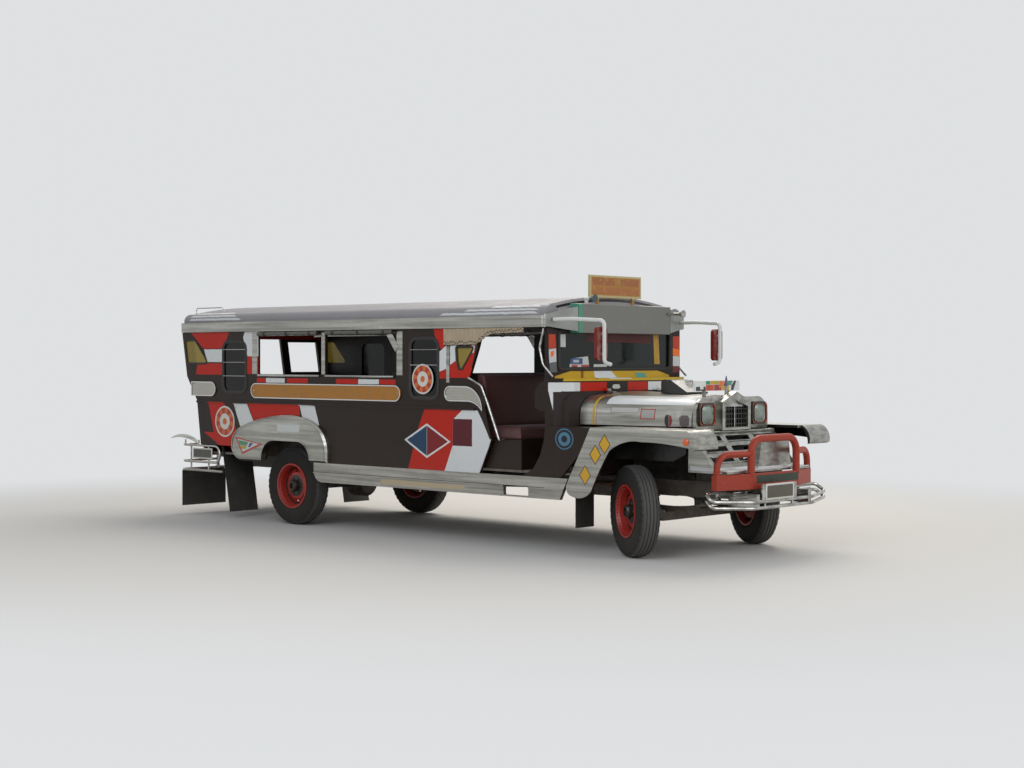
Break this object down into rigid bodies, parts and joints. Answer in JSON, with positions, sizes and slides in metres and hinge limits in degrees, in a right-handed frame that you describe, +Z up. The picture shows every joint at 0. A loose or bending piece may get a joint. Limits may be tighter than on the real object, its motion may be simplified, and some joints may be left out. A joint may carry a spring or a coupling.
{
  "type": "jeepney",
  "caption": "Long open-sided passenger jeepney on a ladder frame, with stainless nose and fenders, side benches, steering front wheels and a lifting hood.",
  "frame": {"origin": "on the ground under the middle of the vehicle's box", "axes": "+X forward, +Y to the vehicle's left, +Z up"},
  "size_m": [7.136, 2.0606, 2.39],
  "materials": {
    "body_paint": "gloss, dulled by dust",
    "stainless": "polished sheet, dented",
    "roof_paint": "matt grey",
    "frame_paint": "chassis black",
    "axle_iron": "greasy",
    "tyre": "worn",
    "rim_red": "chipped gloss",
    "chrome": "plated",
    "glass": "tinted",
    "bar_red": "chipped",
    "sign_paint": "brushed enamel",
    "rubber": "matt",
    "vinyl": "upholstery vinyl",
    "board": "painted plywood",
    "canvas": "tan cotton",
    "lamp": "lens",
    "floor_plate": "tread plate"
  },
  "bodies": {
    "body": {"chassis_frame": "frame_paint", "leaf_springs": "frame_paint", "rear_axle": "axle_iron", "front_axle": "axle_iron", "engine": "axle_iron", "radiator": "frame_paint", "prop_shaft": "frame_paint", "exhaust": "axle_iron", "fuel_tank": "frame_paint", "cabin_floor": "floor_plate", "side_lower_right": "body_paint", "side_lower_left": "body_paint", "side_upper_right": "body_paint", "side_upper_left": "body_paint", "glazing": "glass", "rear_wall": "body_paint", "roof": "roof_paint", "roof_gutter": "stainless", "rear_fenders": "stainless", "side_skirts": "stainless", "cowl": "body_paint", "front_fenders": "stainless", "grille": "chrome", "headlamps": "lamp", "front_apron": "stainless", "bull_bar": "bar_red", "front_bumper": "chrome", "windscreen_frame": "body_paint", "visor_box": "roof_paint", "route_sign": "sign_paint", "horns": "chrome", "mirrors": "bar_red", "grab_rails": "chrome", "seat_bases": "board", "bench_cushion_right": "vinyl", "bench_cushion_left": "vinyl", "front_seat_cushion": "vinyl", "front_seat_back": "vinyl", "steering_column": "frame_paint", "mudflaps": "rubber", "rear_bumper": "chrome", "side_signs": "sign_paint", "curtains": "canvas"},
    "knuckle_right": {"knuckle_right": "axle_iron"},
    "knuckle_left": {"knuckle_left": "axle_iron"},
    "tie_rod": {"tie_rod": "axle_iron"},
    "hood": {"hood": "stainless", "hood_ornaments": "frame_paint"},
    "wheel_rear_right": {"tyre_rear_right": "tyre", "rim_rear_right": "rim_red"},
    "wheel_rear_left": {"tyre_rear_left": "tyre", "rim_rear_left": "rim_red"},
    "wheel_front_right": {"tyre_front_right": "tyre", "rim_front_right": "rim_red"},
    "wheel_front_left": {"tyre_front_left": "tyre", "rim_front_left": "rim_red"}
  },
  "joints": [
    {"name": "rear_right_spin", "type": "hinge", "parent": "body", "child": "wheel_rear_right", "pos_m": [-1.615, -0.845, 0.385], "axis": [0, 1, 0], "continuous": true},
    {"name": "rear_left_spin", "type": "hinge", "parent": "body", "child": "wheel_rear_left", "pos_m": [-1.615, 0.845, 0.385], "axis": [0, 1, 0], "continuous": true},
    {"name": "steer_left", "type": "hinge", "parent": "body", "child": "knuckle_left", "pos_m": [2.665, 0.674, 0.385], "axis": [0, 0, 1], "range_deg": [-5, 65]},
    {"name": "steer_right", "type": "hinge", "parent": "body", "child": "knuckle_right", "pos_m": [2.665, -0.674, 0.385], "axis": [0, 0, 1], "range_deg": [-5, 65]},
    {"name": "tie_rod_swing", "type": "hinge", "parent": "knuckle_left", "child": "tie_rod", "pos_m": [2.55675, 0.7365, 0.285], "axis": [0, 0, 1], "range_deg": [-65, 5]},
    {"name": "front_right_spin", "type": "hinge", "parent": "knuckle_right", "child": "wheel_front_right", "pos_m": [2.606, -0.77619, 0.385], "axis": [0.5, 0.866, 0], "continuous": true},
    {"name": "front_left_spin", "type": "hinge", "parent": "knuckle_left", "child": "wheel_front_left", "pos_m": [2.724, 0.77619, 0.385], "axis": [0.5, 0.866, 0], "continuous": true},
    {"name": "hood_lift", "type": "hinge", "parent": "body", "child": "hood", "pos_m": [1.971, 0, 1.38], "axis": [0, -1, 0], "range_deg": [0, 60]}
  ],
  "couplings": [
    {"joint": "steer_right", "follows": "steer_left", "ratio": 1},
    {"joint": "tie_rod_swing", "follows": "steer_left", "ratio": -1}
  ]
}
